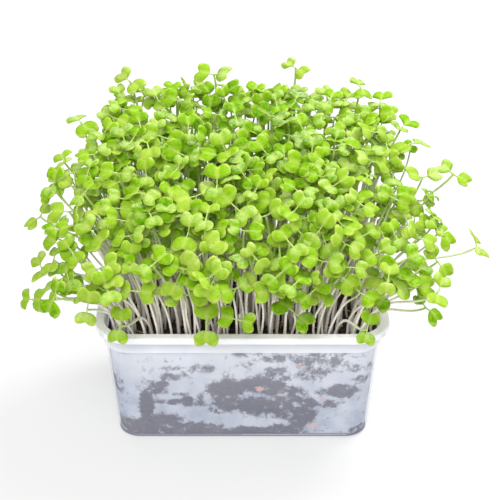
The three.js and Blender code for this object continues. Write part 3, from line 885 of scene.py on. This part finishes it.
# Dark places in the felt of roots on the tub's front: middle x, middle z, half width, half height, depth
darkPlaces = [
    (-58, 9, 17, 7, 1.0), (-48, 11, 12, 8, 1.0), (-30, 6, 22, 6, 1.0), (2, 4, 34, 4, 1.0),
    (24, 5, 12, 5, 1.0), (-58, 24, 5, 13, 1.0), (-52, 39, 4, 5, 0.7), (-48, 42, 5, 2, 0.6),
    (-44, 28, 11, 2, 0.7), (-33, 28, 5, 4, 0.8), (-25, 28, 3, 4, 0.7), (-38, 34, 6, 1.5, 0.5),
    (-10, 38, 11, 7, 1.0), (6, 41, 14, 6, 1.0), (20, 38, 9, 6, 0.8), (8, 25, 17, 8, 1.0),
    (-10, 26, 9, 7, 0.9), (-16, 22, 5, 4, 0.7), (24, 24, 8, 10, 0.95), (32, 33, 7, 8, 0.9),
    (36, 18, 8, 8, 0.95), (33, 9, 6, 6, 0.9), (40, 27, 8, 5, 0.8), (60, 37, 10, 5, 1.0),
    (70, 44, 6, 4, 0.7), (76, 50, 4, 5, 0.6), (54, 26, 8, 3, 0.6), (2, 66, 11, 5, 0.65),
    (19, 61, 8, 4, 0.8), (36, 61, 12, 6, 0.58), (19, 51, 10, 5, 0.5), (42, 50, 9, 7, 0.62),
    (-24, 53, 8, 5, 0.65), (-40, 47, 11, 3, 0.45), (-44, 54, 9, 2, 0.42), (-75, 40, 4, 8, 0.5),
    (70, 5, 6, 3, 0.8), (52, 57, 11, 5, 0.5), (6, 57, 10, 4, 0.45), (62, 61, 9, 5, 0.45),
    (48, 36, 6, 3, 0.6), (30, 47, 8, 4, 0.5), (-8, 50, 9, 3, 0.4), (66, 54, 9, 4, 0.45),
    (28, 67, 14, 3, 0.5),
]
huskPlaces = [(10, 38, 6), (43, 9, 6), (33, 55, 4), (18, 66, 4), (48, 30, 4)]  # middle x, middle z, radius


def feltAt(point):  # 1 where pale roots cover the soil, 0 where the dark peat is bare
    big = noise.noise(point * feltShape["cloud"] + Vector(feltShape["cloudStart"]))
    if point.y > feltShape["frontFrom"] or abs(point.x) > feltShape["frontHalf"]:
        bare = max(0, (feltShape["bareLow"] - point.z) / feltShape["bareLow"])
        felt = feltShape["elsewhere"] + feltShape["elsewhereBy"] * big - feltShape["bareBy"] * bare
        return min(1, max(0, felt))
    dark = 0.0
    for x, z, halfX, halfZ, depth in darkPlaces:
        reach = math.hypot((point.x - x) / halfX, (point.z - z) / halfZ)
        dark = max(dark, depth * min(1, max(0, feltShape["core"] - feltShape["fade"] * reach)))
    return min(1.0, max(feltShape["least"], feltShape["full"] + feltShape["cloudBy"] * big - dark))


def huskAt(point):
    if point.y > feltShape["frontFrom"]:
        return 0.0
    return max(max(0, 1 - math.hypot(point.x - x, point.z - z) / radius) for x, z, radius in huskPlaces)


def makeSoil():
    gap = tub["wall"] + soil["gap"]
    rings = taperedRings(gap, gap, ledgeHeight, tub["baseFillet"] - tub["wall"])
    sideBottom, sideTop = rings[-2][2], rings.pop()[2]
    for i in range(1, int((sideTop - sideBottom) / peatShape["upStep"])):
        z = sideBottom + i * peatShape["upStep"]
        inset, corner = wallAt(z)
        rings.append((inset + gap, corner - gap, z))
    inset = tub["lipReach"] + gap
    corner = tub["lipCorner"] - inset
    rings.append((inset, corner, ledgeHeight + peatShape["belowCollar"]))
    rings.append((inset, corner, soil["top"] - peatShape["topEdge"]))
    sideCount = len(rings)
    for i in range(1, peatShape["inCount"] + 1):
        inward = i * peatShape["inStep"]
        rings.append((inset + inward, max(1, corner - inward), soil["top"]))
    bm = bmesh.new()
    marks = bm.verts.layers.float_color.new("rootFelt")

    def place(level, ring, points):
        for v, point in zip(ring, points):
            if level < sideCount:
                felt = feltAt(point)
                outward = Vector((point.x / tub["width"], point.y / tub["depth"], 0)).normalized()
                grain = 0.5 + 0.5 * noise.noise(point * peatShape["dentGrain"])
                point -= outward * peatShape["dent"] * (1 - felt) * grain
                v[marks] = (felt, huskAt(point), point.z / soil["top"], 1)
            else:
                lump = sum(high * noise.noise(point * dense) for high, dense in peatShape["lumps"])
                point.z += lump * min(1, (level - sideCount + 1) / 2) - peatShape["sink"]
                v[marks] = (peatShape["bareMark"], 0, 0, 1)
            v.co = point * mm

    stackRings(bm, rings, peatShape["around"], place)
    return newPiece("soil_block", bm, [dampPeat])


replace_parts(makeSoil(), "soil")


# Loose things on the soil: peat crumbs, then straw and seed husks
litter = {
    "crumbs": 420, "crumbSize": 0.7, "crumbVaries": 1.3, "crumbRough": 0.3, "crumbFlat": 0.7,
    "crumbUp": 0.3, "straws": 110, "strawLength": 4, "strawVaries": 8, "strawTilt": 0.35, "strawThick": 0.3,
    "thickVaries": 0.4, "strawFlat": 0.6, "strawUp": 1.1, "forward": 0.7, "offWall": 2,
}


def litterPlace(dice):
    while True:
        x = growth["bedHalfWidth"] * (2 * dice.next() - 1)
        y = growth["bedHalfDepth"] * (1 - 2 * dice.next() ** litter["forward"])  # more of them in front
        if insideOpening(x, y) > litter["offWall"]:
            return x, y


def makeCrumbs(dice):
    bm = bmesh.new()
    marks = bm.verts.layers.float_color.new("rootFelt")
    for i in range(litter["crumbs"]):
        x, y = litterPlace(dice)
        size = litter["crumbSize"] + litter["crumbVaries"] * dice.next() ** 2
        made = bmesh.ops.create_icosphere(bm, subdivisions=1, radius=1)["verts"]
        for v in made:
            rough = size * (1 + litter["crumbRough"] * dice.spread())
            up = litter["crumbUp"] + v.co.z * rough * litter["crumbFlat"]
            v.co = metres((x + v.co.x * rough, y + v.co.y * rough, soil["top"] + up))
            v[marks] = (peatShape["bareMark"], 0, 0, 1)
    return newPiece("peat_crumbs", bm, [dampPeat])


def makeStraw(dice):
    bm = bmesh.new()
    for i in range(litter["straws"]):
        x, y = litterPlace(dice)
        length = litter["strawLength"] + litter["strawVaries"] * dice.next() ** 2
        turn, tilt = 2 * math.pi * dice.next(), abs(litter["strawTilt"] * dice.spread())
        thick = litter["strawThick"] + litter["thickVaries"] * dice.next()
        made = bmesh.ops.create_cone(bm, cap_ends=True, segments=5, radius1=thick,
                                     radius2=thick * litter["strawFlat"], depth=length)
        for v in made["verts"]:
            reach = v.co.z
            dx = reach * math.cos(turn) - v.co.x * math.sin(turn)
            dy = reach * math.sin(turn) + v.co.x * math.cos(turn)
            up = litter["strawUp"] + tilt * reach + v.co.y * litter["strawFlat"]
            v.co = metres((x + dx, y + dy, soil["top"] + up))
    return newPiece("straw_and_husks", bm, [dryStraw])


litterDice = Dice(23)
makeCrumbs(litterDice)
makeStraw(litterDice)
print("soil built")


# Studio: a lit white table in a white room, a large soft lamp behind to the right, another in front
studio = {"floor": "#969696", "floorHalf": 4, "floorRoughness": 0.7, "floorGloss": 0.2, "glow": 0.56,
          "sky": 0.7}
lamps = {  # place and target in metres, disk size, watts
    "keyLamp": ((0.55, 0.45, 1.25), (0, 0, 0.1), 0.7, 19.0),
    "frontLamp": ((-0.2, -1.0, 1.25), (0, 0, 0.05), 0.8, 14.5),
}


def makeStudio():
    bm = bmesh.new()
    bmesh.ops.create_grid(bm, x_segments=1, y_segments=1, size=studio["floorHalf"])
    mesh = meshOf(bm, "floor")
    floor = bpy.data.objects.new("floor", mesh)
    bpy.context.scene.collection.objects.link(floor)
    material, tree, output = newMaterial("litWhiteTable")
    skin = addNode(tree, "ShaderNodeBsdfPrincipled", {
        "Base Color": linear(studio["floor"]), "Roughness": studio["floorRoughness"],
        "Specular IOR Level": studio["floorGloss"], "Emission Color": (1, 1, 1, 1),
        "Emission Strength": studio["glow"]})
    tree.links.new(skin.outputs[0], output.inputs["Surface"])
    mesh.materials.append(material)
    world = bpy.data.worlds.new("softWhiteRoom")
    world.use_nodes = True
    world.node_tree.nodes["Background"].inputs["Color"].default_value = (1, 1, 1, 1)
    world.node_tree.nodes["Background"].inputs["Strength"].default_value = studio["sky"]
    bpy.context.scene.world = world


def addLamp(name, place, target, size, power):
    lamp = bpy.data.lights.new(name, "AREA")
    lamp.shape = "DISK"
    lamp.size = size
    lamp.energy = power
    rig = bpy.data.objects.new(name, lamp)
    rig.location = place
    rig.rotation_euler = (Vector(target) - Vector(place)).to_track_quat("-Z", "Y").to_euler()
    bpy.context.scene.collection.objects.link(rig)


# Camera: the photograph's view, 30 degrees down from 850 mm away
view = {"pixels": 500, "focal": 1348.6, "distance": 850, "down": math.radians(30),
        "middle": (242.9, 338.8), "lookZ": 40, "sensor": 36, "near": 0.01}


def makeCamera():
    distance, down, half = view["distance"], view["down"], view["pixels"] / 2
    slideX = (half - view["middle"][0]) * distance / view["focal"]
    slideUp = (view["middle"][1] - half) * distance / view["focal"]
    camera = bpy.data.cameras.new("camera")
    camera.sensor_width = view["sensor"]
    camera.lens = view["focal"] / view["pixels"] * camera.sensor_width
    camera.clip_start = view["near"]
    rig = bpy.data.objects.new("camera", camera)
    y = -distance * math.cos(down) + slideUp * math.sin(down)
    z = view["lookZ"] + distance * math.sin(down) + slideUp * math.cos(down)
    rig.location = metres((slideX, y, z))
    rig.rotation_euler = (math.pi / 2 - down, 0, 0)
    bpy.context.scene.collection.objects.link(rig)
    bpy.context.scene.camera = rig


makeStudio()
for name, setting in lamps.items():
    addLamp(name, *setting)
makeCamera()
bpy.context.scene.view_settings.view_transform = "Standard"
